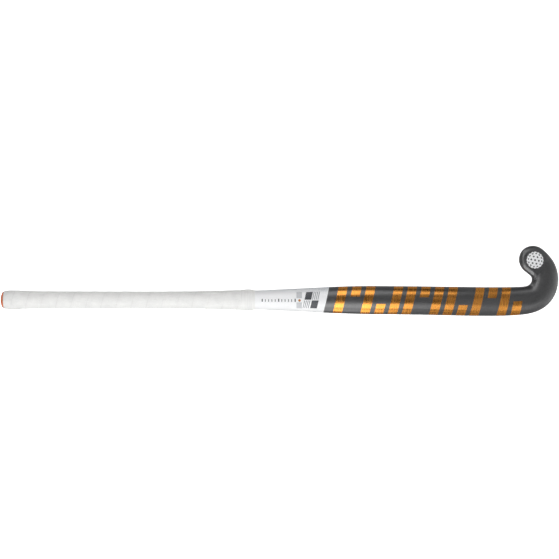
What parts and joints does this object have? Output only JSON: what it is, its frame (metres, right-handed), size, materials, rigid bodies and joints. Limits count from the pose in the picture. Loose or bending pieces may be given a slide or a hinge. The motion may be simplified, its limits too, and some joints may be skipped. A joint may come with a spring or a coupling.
{
  "type": "field hockey stick",
  "caption": "Right-handed composite field hockey stick with a hooked head, bowed shaft, leaning foil bars and a wrapped chamois grip, lying on its flat face.",
  "frame": {"origin": "middle of the bounding box in plan, on the surface the stick lies on", "axes": "+X along the stick from the butt end to the head, +Y the toe side, +Z the rounded back; the flat playing face looks down"},
  "size_m": [0.9272, 0.1169, 0.0482],
  "materials": {
    "carbon_laminate": "satin clear lacquer over carbon twill",
    "inner_laminate": "raw cured laminate",
    "core_foam": "rigid closed-cell foam",
    "handle_foam": "light damping foam",
    "plug_rubber": "moulded rubber",
    "orange_cap": "moulded, slightly textured",
    "underlay": "soft cushion strip",
    "chamois": "white chamois grip, matte and fine grained",
    "finishing_tape": "soft white stretch tape",
    "white_film": "satin white lacquer film",
    "gold_foil": "brushed gold metallic foil",
    "dark_print": "printed",
    "grey_print": "printed",
    "copper_print": "metallic print",
    "hatch_print": "printed",
    "white_print": "printed"
  },
  "bodies": {
    "root": {"laminate_shell": "carbon_laminate", "inner_tube_toe_side": "inner_laminate", "inner_tube_heel_side": "inner_laminate", "head_foam_core": "core_foam", "handle_foam_core": "handle_foam", "butt_plug": "plug_rubber", "butt_cap": "orange_cap", "grip_underlay": "underlay", "grip_wrap": "chamois", "grip_finishing_tape": "finishing_tape", "white_shaft_film": "white_film", "gold_bar_foils": "gold_foil", "shaft_ticks": "dark_print", "label_grey_blocks": "grey_print", "label_dot": "copper_print", "label_dark_tiles": "dark_print", "label_hatched_tiles": "hatch_print", "toe_roundel": "white_print"}
  },
  "joints": []
}
